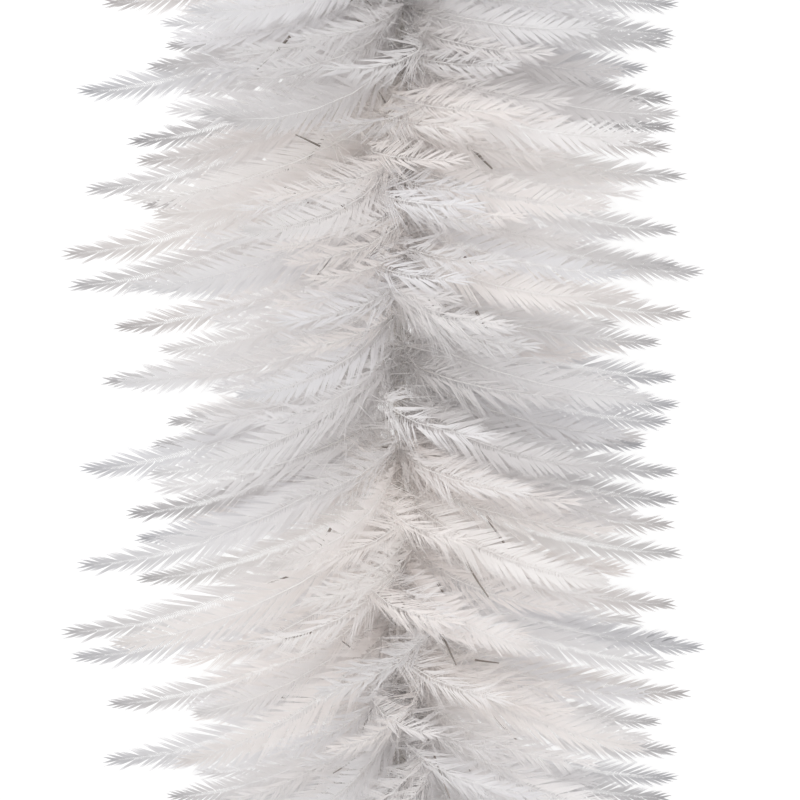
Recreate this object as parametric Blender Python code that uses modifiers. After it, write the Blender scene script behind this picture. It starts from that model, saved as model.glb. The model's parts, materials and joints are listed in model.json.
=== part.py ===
"""A feather boa, laid in an S on a table: a cord with whorls of plumes, in sections that bend.

The spine runs along +Y through the origin and folds back on itself at both ends. Metres, +Z up,
and the table is z = 0. Arc length along the spine is 0 at the middle and grows towards +Y.
"""

import math

import bmesh
import bpy
from mathutils import Matrix, Vector

# Overall sizes
SECTION_LENGTH = 0.160
SECTION_COUNT = 11
FEATHER_REACH = 0.075
CORE_HEIGHT = 0.045

# The S that the spine is laid in
STRAIGHT_HALF = 0.140
FOLD_RADIUS = 0.150

# Cord and string
CORE_RADIUS = 0.0020
STRING_RADIUS = 0.0004
STRING_TURNS = 4
# Between two sections the cord stops short of the hinge, and the wider winding further short of it.
CORE_SETBACK = 0.0015
STRING_SETBACK = 0.0035

# A whorl of plumes on its collar of quills
WHORLS_PER_SECTION = 3
COLLAR_LENGTH = 0.014
COLLAR_WALL = 0.0020
COLLAR_SIDES = 8
PLUME_WIDTH = 0.024
PLUME_THICKNESS = 0.0016
PLUME_LEAN = 0.026
QUILL_WIDTH = 0.0032
SOLE_LENGTH = 0.026
SOLE_WIDTH = 0.016
PLUME_ANGLES = (90, 48, 132, 14, 166, -28, -152)

# End knots
KNOT_RADIUS = 0.0055
KNOT_LENGTH = 0.0110
TAIL_LENGTH = 0.0120

# Gaps between touching pieces: end to end, and round one another
END_GAP = 0.0003
ROUND_GAP = 0.0004

# Driven sizes
SPINE_HALF = SECTION_LENGTH * SECTION_COUNT / 2
WHORL_PITCH = SECTION_LENGTH / WHORLS_PER_SECTION
FOLD_LENGTH = math.pi * FOLD_RADIUS
STRING_STEPS = 8
CORE_STEPS = 12
# A faceted ring's flats lie closer to its axis than its corners, by these shares.
FLAT_OF_STRING = math.cos(math.pi / STRING_STEPS)
FLAT_OF_COLLAR = math.cos(math.pi / COLLAR_SIDES)
STRING_WINDING = (CORE_RADIUS + ROUND_GAP + STRING_RADIUS) / FLAT_OF_STRING
COLLAR_BORE = (STRING_WINDING + STRING_RADIUS + ROUND_GAP) / FLAT_OF_COLLAR
COLLAR_OUTSIDE = COLLAR_BORE + COLLAR_WALL

COLOURS = {
    "core_cord": (0.80, 0.77, 0.72, 1),
    "quill_string": (0.62, 0.58, 0.53, 1),
    "plumes": (0.84, 0.84, 0.85, 1),
    "end_knot": (0.80, 0.77, 0.72, 1),
}


def clear_scene():
    for obj in list(bpy.data.objects):
        bpy.data.objects.remove(obj)


def new_collection(name):
    collection = bpy.data.collections.new(name)
    bpy.context.scene.collection.children.link(collection)
    return collection


def material(name, roughness):
    made = bpy.data.materials.new(name)
    made.use_nodes = True
    shader = made.node_tree.nodes["Principled BSDF"]
    shader.inputs["Base Color"].default_value = COLOURS[name]
    shader.inputs["Roughness"].default_value = roughness
    shader.inputs["Metallic"].default_value = 0.0
    return made


def spine_frame(s):
    """The spine's place and heading at arc length s. Heading is the angle of its run from +Y, turning to +X."""
    side = 1 if s >= 0 else -1
    run = abs(s)
    if run <= STRAIGHT_HALF:
        x, y, turn = 0.0, run, 0.0
    elif run <= STRAIGHT_HALF + FOLD_LENGTH:
        turn = (run - STRAIGHT_HALF) / FOLD_RADIUS
        x = FOLD_RADIUS * (1 - math.cos(turn))
        y = STRAIGHT_HALF + FOLD_RADIUS * math.sin(turn)
    else:
        x, turn = 2 * FOLD_RADIUS, math.pi
        y = STRAIGHT_HALF - (run - STRAIGHT_HALF - FOLD_LENGTH)
    return Vector((side * x, side * y, CORE_HEIGHT)), turn


def spine_matrix(s):
    """Stands a piece that was made along +Y at the origin on the spine at arc length s."""
    place, turn = spine_frame(s)
    return Matrix.Translation(place) @ Matrix.Rotation(-turn, 4, "Z")


def round_tube(name, points, radius, bevel_resolution, collection, finish):
    """A curve object with filled caps along the points."""
    curve = bpy.data.curves.new(name, "CURVE")
    curve.dimensions = "3D"
    curve.bevel_depth = radius
    curve.bevel_resolution = bevel_resolution
    curve.use_fill_caps = True
    spline = curve.splines.new("POLY")
    spline.points.add(len(points) - 1)
    for control, point in zip(spline.points, points):
        control.co = (*point, 1)
    curve.materials.append(finish)
    obj = bpy.data.objects.new(name, curve)
    collection.objects.link(obj)
    return obj


def section_ends(number, setback):
    """Where a section's cord or string starts and stops, clear of its hinges by the setback."""
    low = -SPINE_HALF + number * SECTION_LENGTH
    return low + setback, low + SECTION_LENGTH - setback


def core_cord(number, collection, finish):
    low, high = section_ends(number, CORE_SETBACK)
    points = [spine_frame(low + (high - low) * i / CORE_STEPS)[0] for i in range(CORE_STEPS + 1)]
    return round_tube(f"core_cord_{number + 1:02d}", points, CORE_RADIUS, 2, collection, finish)


def quill_string(number, collection, finish):
    """The string winds round the core, under the collars."""
    low, high = section_ends(number, STRING_SETBACK)
    steps = STRING_TURNS * STRING_STEPS
    points = []
    for i in range(steps + 1):
        around = 2 * math.pi * i / STRING_STEPS
        out = Vector((STRING_WINDING * math.cos(around), 0, STRING_WINDING * math.sin(around)))
        points.append(spine_matrix(low + (high - low) * i / steps) @ out)
    return round_tube(f"quill_string_{number + 1:02d}", points, STRING_RADIUS, 0, collection, finish)


def turned(name, profile, sides, collection):
    """A closed profile of (radius, height) turned about Z."""
    mesh = bpy.data.meshes.new(name)
    edges = [(i, i + 1) for i in range(len(profile) - 1)]
    if profile[0][0] > 0:
        edges.append((len(profile) - 1, 0))
    mesh.from_pydata([(radius, 0, height) for radius, height in profile], edges, [])
    obj = bpy.data.objects.new(name, mesh)
    collection.objects.link(obj)
    screw = obj.modifiers.new("Turn", "SCREW")
    screw.steps = sides
    screw.render_steps = sides
    screw.use_merge_vertices = True
    screw.merge_threshold = 0.00001
    return obj


def plume_outline(length, lean):
    """A leaf outline from quill to tip. Its middle line swings towards the trailing end, then straightens."""
    stations = ((0.0, QUILL_WIDTH / 2), (0.35, PLUME_WIDTH / 2), (0.75, PLUME_WIDTH * 0.36))

    def middle(share):
        return -lean * (1 - (1 - share) ** 1.7)

    upper = [(length * share, middle(share) + half) for share, half in stations]
    lower = [(length * share, middle(share) - half) for share, half in stations]
    return upper + [(length, middle(1))] + lower[::-1]


def plume(name, angle, lean, collection):
    """One flat plume that stands out of the collar at an angle from +X, cut short where it meets the table."""
    down = math.sin(math.radians(-angle))
    root = (COLLAR_BORE + COLLAR_OUTSIDE) / 2
    length = FEATHER_REACH - root
    if down > 0:
        length = min(length, (CORE_HEIGHT - PLUME_THICKNESS) / down - root)
    curve = bpy.data.curves.new(name, "CURVE")
    curve.dimensions = "2D"
    curve.fill_mode = "BOTH"
    curve.extrude = PLUME_THICKNESS / 2
    outline = plume_outline(length, lean * length / FEATHER_REACH)
    spline = curve.splines.new("POLY")
    spline.points.add(len(outline) - 1)
    for control, (out, along) in zip(spline.points, outline):
        control.co = (root + out, along, 0, 1)
    spline.use_cyclic_u = True
    obj = bpy.data.objects.new(name, curve)
    collection.objects.link(obj)
    obj.rotation_euler = (0, -math.radians(angle), 0)
    return obj


def sole(name, lean, collection):
    """The plumes under the cord, crushed by its weight: a block that widens down to a flat sole on the table."""
    top = -(COLLAR_BORE + COLLAR_OUTSIDE) / 2
    swing = math.copysign(SOLE_LENGTH * 0.3, -lean)
    block = bmesh.new()
    bmesh.ops.create_cube(block, size=1)
    bmesh.ops.scale(block, vec=(QUILL_WIDTH, QUILL_WIDTH, CORE_HEIGHT + top), verts=block.verts)
    bmesh.ops.translate(block, vec=(0, 0, (top - CORE_HEIGHT) / 2), verts=block.verts)
    foot = [vert for vert in block.verts if vert.co.z < -CORE_HEIGHT / 2]
    bmesh.ops.scale(block, vec=(SOLE_WIDTH / QUILL_WIDTH, SOLE_LENGTH / QUILL_WIDTH, 1), verts=foot)
    bmesh.ops.translate(block, vec=(0, swing, 0), verts=foot)
    mesh = bpy.data.meshes.new(name)
    block.to_mesh(mesh)
    block.free()
    obj = bpy.data.objects.new(name, mesh)
    collection.objects.link(obj)
    return obj


def as_mesh(obj):
    """A welded mesh of the object as it is evaluated, in its own place."""
    bpy.context.view_layer.update()
    graph = bpy.context.evaluated_depsgraph_get()
    mesh = bpy.data.meshes.new_from_object(obj.evaluated_get(graph), depsgraph=graph)
    mesh.transform(obj.matrix_world)
    work = bmesh.new()
    work.from_mesh(mesh)
    bmesh.ops.remove_doubles(work, verts=work.verts, dist=0.00001)
    bmesh.ops.recalc_face_normals(work, faces=work.faces)
    work.to_mesh(mesh)
    work.free()
    return mesh


def whorl_mesh(name, lean, cutters, finish):
    """The collar of bound quills with its plumes joined on, made once for each way that plumes lean."""
    half = COLLAR_LENGTH / 2
    profile = [
        (COLLAR_OUTSIDE, half),
        (COLLAR_OUTSIDE, -half),
        (COLLAR_BORE, -half),
        (COLLAR_BORE, half),
    ]
    collar = turned(f"{name}_collar", profile, COLLAR_SIDES, cutters)
    collar.rotation_euler = (math.radians(90), 0, 0)
    body = bpy.data.objects.new(f"{name}_body", as_mesh(collar))
    cutters.objects.link(body)
    joined = bmesh.new()
    for angle in PLUME_ANGLES:
        joined.from_mesh(as_mesh(plume(f"{name}_plume", angle, lean, cutters)))
    joined.from_mesh(as_mesh(sole(f"{name}_sole", lean, cutters)))
    plumes_mesh = bpy.data.meshes.new(f"{name}_plumes")
    joined.to_mesh(plumes_mesh)
    joined.free()
    plumes = bpy.data.objects.new(f"{name}_plumes", plumes_mesh)
    cutters.objects.link(plumes)
    union = body.modifiers.new("Join plumes", "BOOLEAN")
    union.operation = "UNION"
    union.object = plumes
    mesh = as_mesh(body)
    mesh.name = name
    mesh.materials.clear()
    mesh.materials.append(finish)
    return mesh


def place_whorls(collection, trailing, leading):
    """Whorls at an even pitch. The last one leans the other way, so that plumes hide that end too."""
    count = SECTION_COUNT * WHORLS_PER_SECTION
    for i in range(count):
        section, seat = divmod(i, WHORLS_PER_SECTION)
        mesh = leading if i == count - 1 else trailing
        obj = bpy.data.objects.new(f"plume_whorl_{section + 1:02d}_{'abc'[seat]}", mesh)
        collection.objects.link(obj)
        obj.matrix_world = spine_matrix(-SPINE_HALF + (i + 0.5) * WHORL_PITCH)


def end_knot(name, s, outwards, collection, finish):
    """The core and the string tied off in a knot, with the tail that is left beyond it."""
    start = END_GAP - CORE_SETBACK
    profile = [
        (0.0, start + KNOT_LENGTH + TAIL_LENGTH),
        (CORE_RADIUS * 1.3, start + KNOT_LENGTH + TAIL_LENGTH),
        (CORE_RADIUS, start + KNOT_LENGTH + TAIL_LENGTH * 0.6),
        (CORE_RADIUS, start + KNOT_LENGTH),
        (KNOT_RADIUS * 0.8, start + KNOT_LENGTH * 0.85),
        (KNOT_RADIUS, start + KNOT_LENGTH * 0.55),
        (KNOT_RADIUS * 0.85, start + KNOT_LENGTH * 0.2),
        (CORE_RADIUS * 1.2, start),
        (0.0, start),
    ]
    obj = turned(name, profile, 12, collection)
    obj.data.materials.append(finish)
    turn = Matrix.Rotation(math.radians(-90 * outwards), 4, "X")
    obj.matrix_world = spine_matrix(s) @ turn
    return obj


def build():
    clear_scene()
    boa = new_collection("feather_boa")
    cutters = new_collection("whorl_makings")
    core_finish = material("core_cord", 0.9)
    string_finish = material("quill_string", 0.8)
    plume_finish = material("plumes", 0.85)
    knot_finish = material("end_knot", 0.9)

    trailing = whorl_mesh("whorl_trailing", PLUME_LEAN, cutters, plume_finish)
    leading = whorl_mesh("whorl_leading", -PLUME_LEAN, cutters, plume_finish)
    for obj in cutters.objects:
        obj.hide_render = True
        obj.display_type = "WIRE"

    for number in range(SECTION_COUNT):
        core_cord(number, boa, core_finish)
        quill_string(number, boa, string_finish)
    place_whorls(boa, trailing, leading)
    end_knot("end_knot_low", -SPINE_HALF, -1, boa, knot_finish)
    end_knot("end_knot_high", SPINE_HALF, 1, boa, knot_finish)


build()
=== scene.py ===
import json
import math
import random

import bmesh
import bpy
import numpy as np
from mathutils import Matrix, Vector, noise

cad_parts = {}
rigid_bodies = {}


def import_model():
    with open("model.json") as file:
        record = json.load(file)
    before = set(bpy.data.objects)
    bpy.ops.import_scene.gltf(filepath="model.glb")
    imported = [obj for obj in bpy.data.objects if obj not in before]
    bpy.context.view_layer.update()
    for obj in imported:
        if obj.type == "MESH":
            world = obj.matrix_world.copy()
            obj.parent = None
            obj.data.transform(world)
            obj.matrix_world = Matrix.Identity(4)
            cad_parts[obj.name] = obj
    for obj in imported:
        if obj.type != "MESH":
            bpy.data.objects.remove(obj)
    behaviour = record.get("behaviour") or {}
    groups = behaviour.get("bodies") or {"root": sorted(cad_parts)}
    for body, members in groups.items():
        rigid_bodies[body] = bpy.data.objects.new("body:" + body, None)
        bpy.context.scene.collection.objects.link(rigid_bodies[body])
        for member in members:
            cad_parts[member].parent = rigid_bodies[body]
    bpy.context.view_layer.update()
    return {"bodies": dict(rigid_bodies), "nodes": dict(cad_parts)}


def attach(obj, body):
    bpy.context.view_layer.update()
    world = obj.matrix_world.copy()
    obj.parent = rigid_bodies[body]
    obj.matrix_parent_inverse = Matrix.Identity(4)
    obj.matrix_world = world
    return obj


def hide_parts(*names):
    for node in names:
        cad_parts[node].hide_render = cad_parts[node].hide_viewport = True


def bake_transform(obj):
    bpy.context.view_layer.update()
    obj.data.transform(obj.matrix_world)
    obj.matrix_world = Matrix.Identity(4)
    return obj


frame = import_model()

# ---- Core cord ------------------------------------------------------------------------------
# A two-ply cotton cord, 4 mm thick, that runs the whole length of the boa and carries everything
# else. The boa lies on a table in an S: a straight run, a fold at each end of it, and two arms.
# Each piece of cord spans one bend, from the middle of a section to the middle of the next.

SECTIONS = sorted(frame["bodies"])
SECTION_LENGTH = 0.160
SPINE_HALF = SECTION_LENGTH * len(SECTIONS) / 2
STRAIGHT_HALF = 0.140
FOLD_RADIUS = 0.150
CORE_HEIGHT = 0.045
CORE_RADIUS = 0.0020
PLY_RADIUS = 0.00105
PLY_OFFSET = 0.9 * PLY_RADIUS
PLY_PITCH = 0.012


def spine_matrix(s):
    """Stands a piece that was made along +Y at the origin on the spine, s metres from its middle."""
    side = 1 if s >= 0 else -1
    run = abs(s)
    fold = math.pi * FOLD_RADIUS
    if run <= STRAIGHT_HALF:
        x, y, turn = 0.0, run, 0.0
    elif run <= STRAIGHT_HALF + fold:
        turn = (run - STRAIGHT_HALF) / FOLD_RADIUS
        x = FOLD_RADIUS * (1 - math.cos(turn))
        y = STRAIGHT_HALF + FOLD_RADIUS * math.sin(turn)
    else:
        x, turn = 2 * FOLD_RADIUS, math.pi
        y = STRAIGHT_HALF - (run - STRAIGHT_HALF - fold)
    place = Vector((side * x, side * y, CORE_HEIGHT))
    return Matrix.Translation(place) @ Matrix.Rotation(-turn, 4, "Z")


def span_ends(number):
    """Where span number starts and stops. The first and the last span are half as long."""
    low = -SPINE_HALF + (number - 0.5) * SECTION_LENGTH
    return max(low, -SPINE_HALF), min(low + SECTION_LENGTH, SPINE_HALF)


def applied(obj):
    """Puts an object's place into its mesh, and leaves nothing selected."""
    obj.data.transform(obj.matrix_world)
    obj.matrix_world = Matrix.Identity(4)
    bpy.ops.object.select_all(action="DESELECT")
    return obj


def copied(obj):
    twin = obj.copy()
    twin.data = obj.data.copy()
    bpy.context.scene.collection.objects.link(twin)
    return twin


def joined(parts, name):
    """One named object out of several."""
    bpy.ops.object.select_all(action="DESELECT")
    for part in parts:
        part.select_set(True)
    bpy.context.view_layer.objects.active = parts[0]
    bpy.ops.object.join()
    bpy.ops.object.select_all(action="DESELECT")
    parts[0].name = name
    parts[0].data.name = name
    return parts[0]


def tube(points, radius, sides, name):
    """A round tube with closed ends, swept along the points."""
    curve = bpy.data.curves.new(name, "CURVE")
    curve.dimensions = "3D"
    curve.bevel_depth = radius
    curve.bevel_resolution = sides // 2 - 2
    curve.use_fill_caps = True
    spline = curve.splines.new("POLY")
    spline.points.add(len(points) - 1)
    for control, point in zip(spline.points, points):
        control.co = (*point, 1)
    obj = bpy.data.objects.new(name, curve)
    bpy.context.scene.collection.objects.link(obj)
    bpy.ops.object.select_all(action="DESELECT")
    obj.select_set(True)
    bpy.context.view_layer.objects.active = obj
    bpy.ops.object.convert(target="MESH")
    bpy.ops.object.shade_smooth()
    bpy.ops.object.select_all(action="DESELECT")
    return obj


def winding(low, high, radius, pitch, phase, steps):
    """Points of a thread wound round the spine, steps to a turn."""
    count = max(2, round((high - low) / pitch * steps))
    points = []
    for i in range(count + 1):
        s = low + (high - low) * i / count
        around = 2 * math.pi * s / pitch + phase
        off = Vector((radius * math.cos(around), 0, radius * math.sin(around)))
        points.append(spine_matrix(s) @ off)
    return points


class Socket:
    """A shader socket that takes arithmetic, so that a pattern reads as a formula."""

    def __init__(self, finish, socket):
        self.finish = finish
        self.socket = socket

    def maths(self, operation, first, second):
        return self.finish.node("ShaderNodeMath", {"operation": operation}, {0: first, 1: second})

    def __add__(self, other):
        return self.maths("ADD", self, other)

    __radd__ = __add__

    def __mul__(self, other):
        return self.maths("MULTIPLY", self, other)

    __rmul__ = __mul__


class Finish:
    """A material, and what adds nodes to it."""

    def __init__(self, name):
        self.material = bpy.data.materials.new(name)
        self.material.use_nodes = True
        self.nodes = self.material.node_tree.nodes
        self.surface = self.nodes["Principled BSDF"]

    def feed(self, socket, value):
        if isinstance(value, Socket):
            self.material.node_tree.links.new(value.socket, socket)
        else:
            socket.default_value = value

    def node(self, kind, settings, values, output=0):
        made = self.nodes.new(kind)
        for name, setting in settings.items():
            if name == "stops":
                set_stops(made.color_ramp, setting)
            elif name == "between":
                made.color_ramp.interpolation = setting
            else:
                setattr(made, name, setting)
        for socket, value in values.items():
            self.feed(made.inputs[socket], value)
        return Socket(self, made.outputs[output])

    def ramp(self, value, stops, between="LINEAR"):
        return self.node("ShaderNodeValToRGB", {"stops": stops, "between": between}, {0: value})

    def multiplied(self, first, second):
        """One colour times another."""
        settings = {"data_type": "RGBA", "blend_type": "MULTIPLY"}
        return self.node("ShaderNodeMix", settings, {0: 1.0, 6: first, 7: second}, output=2)

    def here(self):
        """Where the shaded point is on the finished piece, in metres."""
        return self.node("ShaderNodeTexCoord", {}, {}, output="Object")

    def surfaced(self, **values):
        """The material, with values or patterns fed to its surface."""
        for name, value in values.items():
            self.feed(self.surface.inputs[name.replace("_", " ")], value)
        return self.material


def set_stops(ramp, stops):
    for position, _ in stops[1:-1]:
        ramp.elements.new(position)
    for element, (position, colour) in zip(ramp.elements, stops):
        element.position = position
        element.color = (*colour, 1)


cotton = Finish("unbleached_cotton")
fibre = cotton.node("ShaderNodeTexNoise", {}, {"Vector": cotton.here(), "Scale": 2600.0, "Detail": 3.0})
cotton_colour = cotton.ramp(fibre, [(0.3, (0.66, 0.62, 0.56)), (0.7, (0.90, 0.87, 0.83))])
fuzz = cotton.node("ShaderNodeBump", {}, {"Height": fibre, "Distance": 0.0002, "Strength": 0.6})
COTTON = cotton.surfaced(
    Base_Color=cotton_colour, Roughness=0.8 + 0.18 * fibre, Sheen_Weight=0.3, Normal=fuzz
)


def seated(obj, number, slot, *nodes):
    """Rides an end span's piece on its section. A piece between two sections is only baked where it stands,
    on neither of them.
    """
    low, high = span_ends(number)
    if number in (0, len(SECTIONS)):
        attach(obj, SECTIONS[min(number, len(SECTIONS) - 1)])
    else:
        start, end = spine_matrix(low).translation, spine_matrix(high).translation
        SECTIONS[number - 1]
        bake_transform(obj)
    if nodes:
        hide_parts(*nodes)


def on_section(kind, number):
    """The nodes of a kind on the section that span number starts in."""
    return [n for n in frame["nodes"] if n.startswith(f"{kind}_{number:02d}")]


for number in range(len(SECTIONS) + 1):
    low, high = span_ends(number)
    plies = [
        tube(winding(low, high, PLY_OFFSET, PLY_PITCH, phase, steps=8), PLY_RADIUS, sides=6, name="ply")
        for phase in (0, math.pi)
    ]
    cord = joined(plies, f"core_cord_span_{number:02d}")
    cord.data.materials.append(COTTON)
    seated(cord, number, "core_cord", *on_section("core_cord", number))

# ---- Quill string ---------------------------------------------------------------------------
# A thin waxed thread wound round the core cord. Each turn binds the bare feet of some plumes
# against the cord, and it is what holds the plumes on.

STRING_RADIUS = 0.00035
STRING_PITCH = 0.008

thread = Finish("waxed_thread")
strand = thread.node("ShaderNodeTexNoise", {}, {"Vector": thread.here(), "Scale": 1800.0, "Detail": 2.0})
thread_colour = thread.ramp(strand, [(0.3, (0.45, 0.42, 0.38)), (0.7, (0.70, 0.66, 0.61))])
twist = thread.node("ShaderNodeBump", {}, {"Height": strand, "Distance": 0.0001, "Strength": 0.5})
THREAD = thread.surfaced(Base_Color=thread_colour, Roughness=0.45 + 0.3 * strand, Normal=twist)

for number in range(len(SECTIONS) + 1):
    low, high = span_ends(number)
    turns = winding(low, high, CORE_RADIUS + STRING_RADIUS, STRING_PITCH, phase=0, steps=12)
    string = tube(turns, STRING_RADIUS, sides=4, name=f"quill_string_span_{number:02d}")
    string.data.materials.append(THREAD)
    seated(string, number, "quill_string", *on_section("quill_string", number))

# ---- End knots ------------------------------------------------------------------------------
# At each end the core cord is tied in a knot, which keeps the string from unwinding. Its tail is
# cut square, and the yarns of the two plies have started to fray.

KNOT_SETBACK = 0.0012
KNOT_TURNS = 2.25
KNOT_WRAP_RADIUS = 0.0035
KNOT_CORD_RADIUS = 0.00175
KNOT_LOW = 0.0022
KNOT_HIGH = 0.0100
TAIL_HIGH = 0.0180
FRAY_START = TAIL_HIGH - 0.001
FRAY_LENGTH = 0.0046
FRAY_SPREAD = 0.0016
YARN_RADIUS = 0.00032
YARN_TWIST = 0.8
YARN_TO_YARN = 2.4
YARNS = 14


def beyond(end, out, radius, around):
    """A point out past the end of the spine, at a radius and an angle round its line."""
    off = Vector((radius * math.cos(around), 0, radius * math.sin(around)))
    return spine_matrix(end * (SPINE_HALF - KNOT_SETBACK + out)) @ off


def knot_wraps(end):
    """The cord's turns round itself, drawn in at both ends of the knot."""
    points = []
    for share in np.linspace(0, 1, 61):
        radius = KNOT_WRAP_RADIUS * math.sin(math.pi * share) ** 0.3
        out = KNOT_LOW + (KNOT_HIGH - KNOT_LOW) * share
        points.append(beyond(end, out, radius, 2 * math.pi * KNOT_TURNS * share))
    return tube(points, KNOT_CORD_RADIUS, sides=10, name="wraps")


def tail_ply(end, phase):
    """One ply of the cord, on through the knot to the end of the tail."""
    outs = np.linspace(0, TAIL_HIGH, 25)
    points = [beyond(end, out, PLY_OFFSET, 2 * math.pi * out / PLY_PITCH + phase) for out in outs]
    return tube(points, PLY_RADIUS, sides=8, name="ply")


def frayed_yarn(end, number):
    """A yarn that has come loose at the end of the tail, and turns outwards."""
    foot = CORE_RADIUS * (0.25 + 0.3 * (number % 3))
    length = FRAY_LENGTH * (0.8 + 0.2 * math.sin(5 * number))
    points = []
    for share in np.linspace(0, 1, 6):
        around = YARN_TO_YARN * number + YARN_TWIST * share
        points.append(beyond(end, FRAY_START + length * share, foot + FRAY_SPREAD * share ** 2, around))
    return tube(points, YARN_RADIUS, sides=6, name="yarn")


for end, label, section in ((-1, "low", SECTIONS[0]), (1, "high", SECTIONS[-1])):
    parts = [knot_wraps(end), tail_ply(end, 0), tail_ply(end, math.pi)]
    parts += [frayed_yarn(end, number) for number in range(YARNS)]
    knot = joined(parts, f"end_knot_{label}_tied")
    knot.data.materials.append(COTTON)
    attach(knot, section)
    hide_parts(f"end_knot_{label}")

# ---- Plumes ---------------------------------------------------------------------------------
# Soft turkey plumes, bound to the cord in bunches that stand out all round and lean to one end.
# Each has a quill that tapers to nothing, and on both sides a close row of fine barbs. The barbs
# cling together in tufts, and those at the foot are loose down.

LONG_PLUME = 0.078
SHORT_PLUME = 0.052
DOWN_REACH = 0.024
DOWN_BARBS_ON_PLUME = 40
DOWN_BARBS_IN_TUFT = 84
DOWN_BARB_REACH = 0.008, 0.018
BARB_PITCH = 0.00044
BARBS_IN_TUFT = 5
BARB_WIDTH = 0.00036
DOWN_BARB_WIDTH = 0.65 * BARB_WIDTH
BARB_REACH = 0.0118
BARB_ROOT = 0.0007
VANE_START = 0.05
VANE_STOP = 0.985
QUILL_RADIUS = 0.00016
QUILL_TAPER = 0.15
STUB_RADIUS = 0.00024
STUB_TAPER = 0.6
STUB_LENGTH = 0.011
TONES = 8
SWEEP_POWER = 1.7
TABLE_SPREAD = 0.6
PRESSED_HEIGHT = 0.0008
PRESSED_DEPTH = 0.01


def picked(obj, wanted):
    """Selects the vertices whose place is wanted, in edit mode."""
    work = bmesh.from_edit_mesh(obj.data)
    for vert in work.verts:
        vert.select = wanted(vert.co)
    work.select_flush(True)
    bmesh.update_edit_mesh(obj.data)


def new_barb():
    """A barb one unit long and wide along +X, pointed at both ends, that bows by one unit of +Z."""
    bpy.ops.mesh.primitive_circle_add(vertices=4, radius=0.5, fill_type="NGON", location=(0.5, 0, 0))
    barb = applied(bpy.context.object)
    barb.data.uv_layers[0].name = "OFBake"
    bpy.ops.object.mode_set(mode="EDIT")
    bpy.ops.mesh.select_mode(type="VERT")
    picked(barb, lambda place: abs(place.y) > 0.4)
    bpy.ops.mesh.vert_connect()
    bpy.ops.transform.translate(value=(-0.34, 0, 1))
    bpy.ops.object.mode_set(mode="OBJECT")
    return barb


def uv_of(obj):
    values = np.empty(len(obj.data.loops) * 2, np.float32)
    obj.data.uv_layers["OFBake"].data.foreach_get("uv", values)
    return values.reshape(-1, 2)


def set_uv(obj, values):
    obj.data.uv_layers["OFBake"].data.foreach_set("uv", values.astype(np.float32).ravel())


def placed_barb(barb, foot, tip, width, bow, share):
    """A copy of the barb from foot to tip, mapped along itself and by its share of the plume."""
    twin = copied(barb)
    along = tip - foot
    across = Vector((0, 0, 1)).cross(along).normalized() * width
    move = Matrix((along, across, bow)).transposed().to_4x4()
    move.translation = foot
    twin.data.transform(move)
    places = uv_of(twin)
    places[:, 0] = 0.05 + 0.9 * places[:, 0]
    places[:, 1] = 0.02 + 0.93 * share + 0.024 * places[:, 1]
    set_uv(twin, places)
    return twin


def vane(barb, length, side, wild, chance):
    """One row of barbs, tuft by tuft from the foot. In a wild one they point every way, as fluff does."""
    row = []
    x = length * VANE_START
    while x < length * VANE_STOP:
        share = x / length
        swell = min(1, 0.6 + share * 2)
        taper = 1 - max(0, (share - 0.35) / 0.65) ** 1.3 * 0.66 - max(0, share - 0.93) * 2
        reach = BARB_REACH * swell * taper * chance.uniform(0.8, 1.15)
        slant = math.radians(30 + 6 * share + chance.uniform(-5, 5) * (1 + 3 * wild))
        slant *= 1 - max(0, share - 0.8) / 0.2 * 0.6
        lift = math.radians(6 + chance.uniform(-12, 12) * (1 + 5 * wild))
        aside = math.sin(slant)
        out = Vector((math.cos(slant), side * aside * math.cos(lift), aside * math.sin(lift)))
        middle = Vector((x + BARB_PITCH * BARBS_IN_TUFT / 2, 0, 0)) + out * reach
        cling = chance.uniform(0.05, 0.35) * (1 - 0.8 * wild) + 0.2 * share
        for _ in range(BARBS_IN_TUFT):
            foot = Vector((x, 0, 0))
            tip = (foot + out * reach * chance.uniform(0.8, 1.1)).lerp(middle, cling)
            up = 0.03 + chance.uniform(-0.03, 0.03) * (1 + 3 * wild)
            bow = Vector((-0.04, side * 0.05, up)) * reach
            width = BARB_WIDTH * (1 - 0.1 * share) * (1 - 0.35 * wild)
            row.append(placed_barb(barb, foot - out * BARB_ROOT, tip, width, bow, share))
            x += BARB_PITCH * chance.uniform(0.9, 1.1)
    return row


def down(barb, length, count, chance):
    """Loose down round the foot, in every direction."""
    tufts = []
    for _ in range(count):
        foot = Vector((length * chance.uniform(0.01, 0.3), 0, 0))
        around = chance.uniform(0, 2 * math.pi)
        slant = math.radians(chance.uniform(30, 85))
        aside = math.sin(slant)
        out = Vector((math.cos(slant), aside * math.cos(around), aside * math.sin(around)))
        reach = chance.uniform(*DOWN_BARB_REACH)
        bow = Vector((-0.12, 0, chance.uniform(-0.1, 0.1))) * reach
        tufts.append(placed_barb(barb, foot, foot + out * reach, DOWN_BARB_WIDTH, bow, share=0.0))
    return tufts


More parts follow.
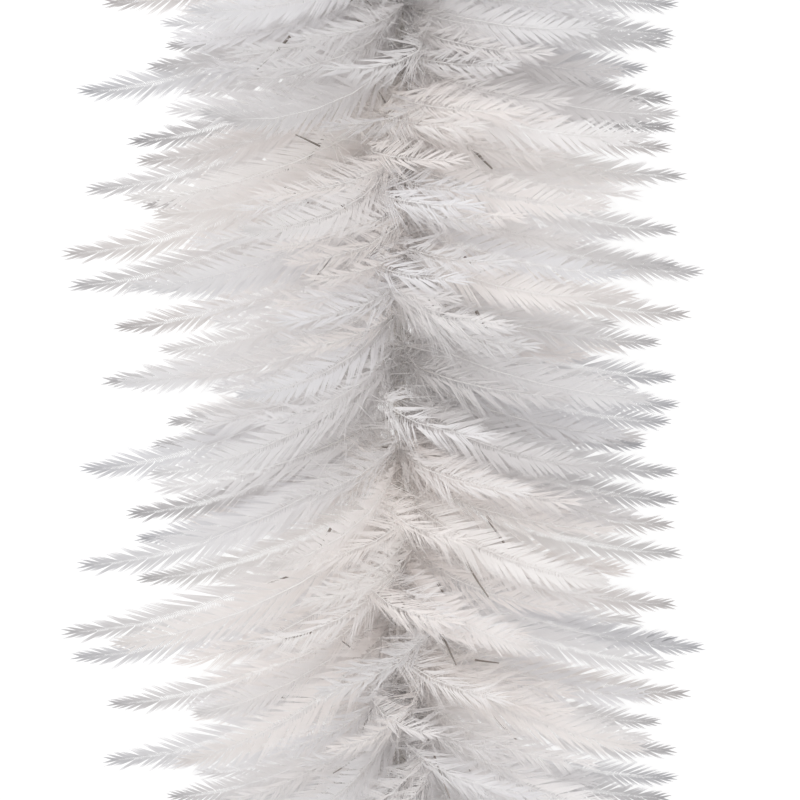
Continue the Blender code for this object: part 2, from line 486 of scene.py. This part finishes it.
def quill(start, length, radius, taper):
    """A four-sided cone, cut into lengths so that it can bend. Its tip is taper times its foot."""
    bpy.ops.mesh.primitive_cone_add(
        vertices=4,
        radius1=radius,
        radius2=radius * taper,
        depth=length,
        location=(start + length / 2, 0, 0),
        rotation=(0, math.radians(90), 0),
    )
    made = applied(bpy.context.object)
    made.data.uv_layers[0].name = "OFBake"
    bpy.ops.object.mode_set(mode="EDIT")
    for share in (0.2, 0.4, 0.6, 0.8):
        bpy.ops.mesh.select_all(action="SELECT")
        bpy.ops.mesh.bisect(plane_co=(start + length * share, 0, 0), plane_no=(1, 0, 0))
    bpy.ops.object.mode_set(mode="OBJECT")
    corners = np.array([made.data.vertices[loop.vertex_index].co for loop in made.data.loops])
    around = np.arctan2(corners[:, 1], corners[:, 2]) / (2 * math.pi) % 1
    set_uv(made, np.stack([0.1 + 0.8 * around, 0.02 + 0.96 * (corners[:, 0] - start) / length], 1))
    return made


vane_finish = Finish("plume_vane")
vane_place = vane_finish.node("ShaderNodeUVMap", {"uv_map": "OFBake"}, {})
vane_tone = vane_finish.node("ShaderNodeSeparateXYZ", {}, {0: vane_place}, output=0)
vane_share = Socket(vane_finish, vane_tone.socket.node.outputs[1])
barb_share = vane_finish.node("ShaderNodeMath", {"operation": "FRACT"}, {0: vane_tone * TONES})
dyes = (
    (0.73, 0.71, 0.71),
    (0.80, 0.79, 0.795),
    (0.855, 0.855, 0.875),
    (0.885, 0.88, 0.89),
    (0.905, 0.885, 0.88),
    (0.925, 0.882, 0.86),
    (0.94, 0.897, 0.872),
    (0.95, 0.93, 0.915),
)
dyed = vane_finish.ramp(vane_tone, [(i / TONES, dye) for i, dye in enumerate(dyes)], "CONSTANT")
# Painted shade: the vane's colour greys from the foot to the tip. This darkens the far ends of the plumes,
# which lie out in the open light over the white table.
painted_tip_shade = vane_finish.ramp(
    vane_share,
    [
        (0.0, (1.0, 0.99, 0.98)),
        (0.2, (0.99, 0.99, 0.99)),
        (0.4, (0.93, 0.93, 0.935)),
        (0.6, (0.82, 0.82, 0.825)),
        (0.8, (0.68, 0.68, 0.69)),
        (1.0, (0.48, 0.48, 0.495)),
    ],
)
edge = vane_finish.ramp(
    barb_share, [(0.0, (0.95, 0.95, 0.95)), (0.5, (1.0, 1.0, 1.0)), (1.0, (0.98, 0.98, 0.99))]
)
vane_colour = vane_finish.multiplied(vane_finish.multiplied(dyed, painted_tip_shade), edge)
barbules = vane_finish.node(
    "ShaderNodeTexWave", {"bands_direction": "X"}, {"Vector": vane_place, "Scale": 75.0}
)
ribbed = vane_finish.node("ShaderNodeBump", {}, {"Height": barbules, "Distance": 0.00003, "Strength": 0.3})
vane_finish.surfaced(
    Base_Color=vane_colour, Roughness=0.78 + 0.15 * barbules, Sheen_Weight=0.2, Normal=ribbed
)
through = vane_finish.node("ShaderNodeBsdfTranslucent", {}, {"Color": (0.94, 0.922, 0.912, 1)})
surface = Socket(vane_finish, vane_finish.surface.outputs[0])
# The sheer share follows the colour, so the painted tip shade also lets less light through at the tips.
sheer = 0.6 * vane_colour * vane_colour
thin = vane_finish.node("ShaderNodeMixShader", {}, {0: sheer, 1: surface, 2: through})
vane_finish.feed(vane_finish.nodes["Material Output"].inputs["Surface"], thin)
VANE = vane_finish.material

horn = Finish("quill_horn")
horn_place = horn.node("ShaderNodeUVMap", {"uv_map": "OFBake"}, {})
horn_share = horn.node("ShaderNodeSeparateXYZ", {}, {0: horn_place}, output=1)
grain = horn.node("ShaderNodeTexNoise", {}, {"Vector": horn_place, "Scale": 60.0, "Detail": 2.0})
# The quill is dark at its bare foot, as real quills are. Its grey towards the tip is painted shade, the same
# as the vane's.
horn_colour = horn.ramp(
    horn_share * (0.9 + 0.2 * grain),
    [
        (0.0, (0.22, 0.19, 0.17)),
        (0.04, (0.45, 0.42, 0.39)),
        (0.1, (0.72, 0.69, 0.66)),
        (0.22, (0.97, 0.955, 0.945)),
        (0.6, (0.93, 0.92, 0.92)),
        (1.0, (0.36, 0.36, 0.37)),
    ],
)
scored = horn.node("ShaderNodeBump", {}, {"Height": grain, "Distance": 0.00005, "Strength": 0.4})
HORN = horn.surfaced(Base_Color=horn_colour, Roughness=0.35 + 0.3 * grain, Normal=scored)


def plume_model(number, length, wild):
    """A straight plume along +X, of a given length, with its own barbs for each number."""
    chance = random.Random(number)
    barb = new_barb()
    barbs = down(barb, length, DOWN_BARBS_ON_PLUME, chance)
    for side in (-1, 1):
        barbs += vane(barb, length, side, wild, chance)
    bpy.data.objects.remove(barb)
    soft = joined(barbs, "vane")
    soft.data.materials.append(VANE)
    stem = quill(0, length, QUILL_RADIUS, QUILL_TAPER)
    stem.data.materials.append(HORN)
    return joined([soft, stem], f"plume_model_{number}")


def down_model(number):
    """Loose down on its own, as at the foot of every plume, which fills the space round the cord."""
    chance = random.Random(number)
    barb = new_barb()
    made = joined(down(barb, DOWN_REACH, DOWN_BARBS_IN_TUFT, chance), f"down_model_{number}")
    bpy.data.objects.remove(barb)
    made.data.materials.append(VANE)
    return made


def stub_model(number):
    """The bare foot of a plume that missed the binding, and sticks out dark between the others."""
    start = SHORT_PLUME * (0.25 + 0.1 * number)
    made = quill(start, STUB_LENGTH * (0.3 + 0.15 * number), STUB_RADIUS, STUB_TAPER)
    made.data.materials.append(HORN)
    places = uv_of(made)
    places[:, 1] *= 0.01
    set_uv(made, places)
    return made


def corners_of(obj):
    values = np.empty(len(obj.data.vertices) * 3, np.float32)
    obj.data.vertices.foreach_get("co", values)
    return values.reshape(-1, 3)


def arched(points, length, sweep, foot, tip, ease, roll, side):
    """Rolls a straight plume about its quill, sweeps it towards -Y, and eases its rise from foot to tip."""
    x, y, z = points.T
    y, z = y * math.cos(roll) - z * math.sin(roll), y * math.sin(roll) + z * math.cos(roll)
    share = np.clip(x / length, 0, 1)
    x = x + y * sweep * SWEEP_POWER * (1 - share) ** (SWEEP_POWER - 1)
    y = y - sweep * length * (1 - (1 - share) ** SWEEP_POWER)
    run = np.linspace(-0.2, 1.3, 61)
    rise = tip + (foot - tip) * np.exp(-ease * np.maximum(run, 0))
    step = length * (run[1] - run[0])
    out = np.cumsum(np.cos(rise)) * step
    up = np.cumsum(np.sin(rise)) * step
    here = x / length
    angle = np.interp(here, run, rise)
    out = np.interp(here, run, out - np.interp(0, run, out)) - z * np.sin(angle)
    up = np.interp(here, run, up - np.interp(0, run, up)) + z * np.cos(angle)
    return np.stack([side * out, y, up], 1)


def laid(points, clearance):
    """The table presses what would go under it flat, and outwards."""
    floor = clearance - CORE_HEIGHT
    under = np.minimum(points[:, 2] - floor, 0)
    points[:, 0] -= np.sign(points[:, 0]) * under * TABLE_SPREAD
    heaped = PRESSED_HEIGHT * (1 - np.exp(under / PRESSED_DEPTH))
    points[:, 2] = np.maximum(points[:, 2], floor) + heaped
    return points


LONG_MODELS = [plume_model(number, LONG_PLUME, wild=0.0) for number in range(6)]
SHORT_MODELS = [plume_model(number, SHORT_PLUME, wild=0.2) for number in range(6, 12)]
FLUFFY_MODELS = [plume_model(number, SHORT_PLUME, wild=0.8) for number in range(12, 17)]
DOWN_MODELS = [down_model(number) for number in range(17, 21)]
STUB_MODELS = [stub_model(number) for number in range(4)]
# How far the plumes of each side lean back, for each metre that they reach out.
SWEEP = {-1: 0.36, 1: 0.25}
# The winding repeats itself. In one repeat, these plumes stand out furthest: where a tip is, and how
# far out.
REPEAT = 0.09375
LEADERS = {
    -1: (
        (0.0048, 0.070), (0.0185, 0.069), (0.0288, 0.079), (0.0363, 0.080), (0.0493, 0.062), (0.0533, 0.076),
        (0.0593, 0.062), (0.0655, 0.065), (0.0765, 0.076), (0.0825, 0.059), (0.0885, 0.055),
    ),
    1: (
        (0.0055, 0.066), (0.0143, 0.061), (0.0213, 0.068), (0.0318, 0.072), (0.0335, 0.066), (0.0425, 0.066),
        (0.0555, 0.067), (0.0630, 0.064), (0.0688, 0.066), (0.0760, 0.065), (0.0825, 0.058), (0.0883, 0.064),
        (0.0925, 0.066),
    ),
}
# How the lots of plumes follow one another along the same repeat, from grey at 0 to cream at 1.
LOTS = (
    (0.000, 0.28), (0.006, 0.42), (0.013, 0.38), (0.019, 0.30), (0.025, 0.60), (0.035, 0.75), (0.042, 0.28),
    (0.048, 0.34), (0.056, 0.60), (0.065, 0.88), (0.075, 0.72), (0.080, 0.06), (0.088, 0.14), (0.094, 0.28),
)
REPEATS_EACH_WAY = 10
LOT_SCATTER = 0.18
BUNCHES_PER_METRE = 340
BUNCH_TO_BUNCH = math.pi * (3 - math.sqrt(5))
BUNCH_SPREAD = 0.012
PLUMES_IN_BUNCH = 3
# Angles up from level. Half of the low bunches are turned up, where they show.
LOW_BUNCH = -0.3
TURNED_UP = 0.6, 1.57
FLUFFY_ABOVE = 0.5
STUB_ABOVE = 0.4
LONG_BEYOND = 0.6
SHORT_REACH = 0.042, 0.058
LONG_REACH = 0.060, 0.076
# How far along the painted tip shade each kind of plume runs: fully for the outer plumes, hardly at all for
# the short ones on top.
FULL_TIP_SHADE = 1.0
UPRIGHT_TIP_SHADE = 0.7
SHORT_TIP_SHADE = 0.45
ROLL_SCATTER = 0.22
TABLE_CLEARANCE = 0.0006, 0.006
END_FAN = 0.05
LONG = LONG_MODELS, LONG_PLUME
SHORT = SHORT_MODELS, SHORT_PLUME
FLUFFY = FLUFFY_MODELS, SHORT_PLUME
DOWN = DOWN_MODELS, DOWN_REACH
STUB = STUB_MODELS, SHORT_PLUME
chance = random.Random(3)
spans = [[] for _ in range(len(SECTIONS) + 1)]


def lot(s, side):
    """The tone of the plumes that lie at s: their lot's, a little of the next lots', and some by chance."""
    along = (s - 0.3 * SWEEP[side] * SHORT_PLUME) % REPEAT
    grade = np.interp(along, *zip(*LOTS)) + LOT_SCATTER * noise.noise(Vector((s * 90, side * 7, 0)))
    return min(TONES - 1, max(0, int((grade + chance.uniform(-LOT_SCATTER, LOT_SCATTER)) * TONES)))


def add_plume(s, side, foot, tip, reach, sweep, tone, tip_shade, models, length):
    """A copy of a plume model, bent and stood on the spine. Its tip is as grey as its share of the painted
    tip shade says.
    """
    made = copied(chance.choice(models))
    scale = reach / length
    stretch = np.array([scale, scale ** 0.5, scale ** 0.5 * chance.choice((-1, 1))], np.float32)
    end = max(0.0, 1 - (SPINE_HALF - abs(s)) / END_FAN)
    sweep *= 1 - 2.0 * end if s > 0 else 1 + 0.6 * end
    ease = min(4.0, max(1.7, 4.0 - 1.5 * foot))
    roll = chance.gauss(0, ROLL_SCATTER)
    points = arched(corners_of(made) * stretch, reach, sweep, foot, tip, ease, roll, side)
    points += np.array([side * CORE_RADIUS * math.cos(foot), 0, CORE_RADIUS * math.sin(foot)])
    points = laid(points, chance.uniform(*TABLE_CLEARANCE))
    stand = np.array(spine_matrix(s))
    points = points @ stand[:3, :3].T + stand[:3, 3]
    made.data.vertices.foreach_set("co", points.astype(np.float32).ravel())
    places = uv_of(made)
    places[:, 0] = (tone + places[:, 0]) / TONES
    places[:, 1] *= tip_shade
    set_uv(made, places)
    spans[min(len(SECTIONS), int((s + SPINE_HALF) / SECTION_LENGTH + 0.5))].append(made)


for side, leaders in LEADERS.items():
    for turn in range(-REPEATS_EACH_WAY, REPEATS_EACH_WAY):
        for place, reach in leaders:
            sweep = SWEEP[side] * chance.uniform(0.92, 1.08)
            s = turn * REPEAT + place + sweep * reach
            if abs(s) < SPINE_HALF:
                foot = chance.uniform(-0.15, 0.35)
                tip = chance.uniform(-0.12, 0.06)
                add_plume(s, side, foot, tip, reach, sweep, lot(s, side), FULL_TIP_SHADE, *LONG)

bunches = round(BUNCHES_PER_METRE * 2 * SPINE_HALF)
for k in range(bunches):
    s = -SPINE_HALF + (k + chance.random()) / bunches * 2 * SPINE_HALF
    around = k * BUNCH_TO_BUNCH + chance.uniform(-0.3, 0.3)
    side = 1 if math.cos(around) > 0 else -1
    foot = math.asin(math.sin(around))
    if foot < LOW_BUNCH and chance.random() < 0.5:
        foot = chance.uniform(*TURNED_UP)
    tone = lot(s, side)
    for _ in range(PLUMES_IN_BUNCH):
        near = s + chance.uniform(-BUNCH_SPREAD, BUNCH_SPREAD)
        own = foot + chance.uniform(-0.4, 0.4)
        kind = SHORT if own < FLUFFY_ABOVE else FLUFFY
        over = own > FLUFFY_ABOVE and chance.random() < 0.5
        way = -side if over else side
        tip = 0.2 * own + chance.uniform(-0.2, 0.2)
        if over:
            own = math.pi - own
        shade = min(TONES - 1, max(0, tone + chance.choice((-1, 0, 0, 1))))
        sweep = SWEEP[way] * chance.uniform(0.8, 1.3)
        add_plume(near, way, own, tip, chance.uniform(*SHORT_REACH), sweep, shade, SHORT_TIP_SHADE, *kind)
    if abs(foot) > LONG_BEYOND:
        reach = chance.uniform(*LONG_REACH)
        add_plume(s, side, foot, foot * 0.5, reach, SWEEP[side], tone, UPRIGHT_TIP_SHADE, *LONG)
    if foot > STUB_ABOVE:
        sweep = chance.uniform(-0.6, 1.4)
        add_plume(s, side, foot, foot * 0.4, SHORT_PLUME, sweep, tone, FULL_TIP_SHADE, *STUB)
    for turned in (0, 1.6):
        own = foot + chance.uniform(-0.8, 0.8) + turned
        add_plume(near, side, own, own * 0.8, DOWN_REACH, 0.1, tone, SHORT_TIP_SHADE, *DOWN)

for model in LONG_MODELS + SHORT_MODELS + FLUFFY_MODELS + DOWN_MODELS + STUB_MODELS:
    bpy.data.objects.remove(model)

for number, bunch in enumerate(spans):
    seated(joined(bunch, f"plumes_span_{number:02d}"), number, "plumes", *on_section("plume_whorl", number))

# ---- Table, light and camera ----------------------------------------------------------------
# A plain white table under an even sky and one broad soft light. The camera looks straight down
# at the middle run.

VIEW_WIDTH = 0.200
CAMERA_LENS = 90.0
SENSOR = 36.0
TABLE_SIZE = 30
TABLE_DROP = 0.0005
KEY_PLACE = (-0.9, 0.9, 1.3)
KEY_POWER = 9
KEY_SIZE = 1.2

bpy.ops.mesh.primitive_plane_add(size=TABLE_SIZE, location=(0, 0, -TABLE_DROP))
table = applied(bpy.context.object)
table.name = "table"
paper = Finish("white_paper")
paper.surface.inputs["Emission Strength"].default_value = 0.80
table.data.materials.append(
    paper.surfaced(Base_Color=(0.25, 0.25, 0.25, 1), Roughness=0.9, Emission_Color=(1, 1, 1, 1))
)

world = bpy.data.worlds.new("studio")
world.use_nodes = True
world.node_tree.nodes["Background"].inputs["Color"].default_value = (1, 1, 1, 1)
world.node_tree.nodes["Background"].inputs["Strength"].default_value = 1.0
bpy.context.scene.world = world

bpy.ops.object.light_add(type="AREA", location=KEY_PLACE)
key = bpy.context.object
key.data.energy = KEY_POWER
key.data.size = KEY_SIZE
key.rotation_euler = (-key.location).to_track_quat("-Z", "Y").to_euler()

bpy.ops.object.camera_add(location=(0, 0, CORE_HEIGHT + VIEW_WIDTH * CAMERA_LENS / SENSOR))
camera = bpy.context.object
camera.data.sensor_width = SENSOR
camera.data.lens = CAMERA_LENS
bpy.context.scene.camera = camera
bpy.context.scene.view_settings.view_transform = "Standard"
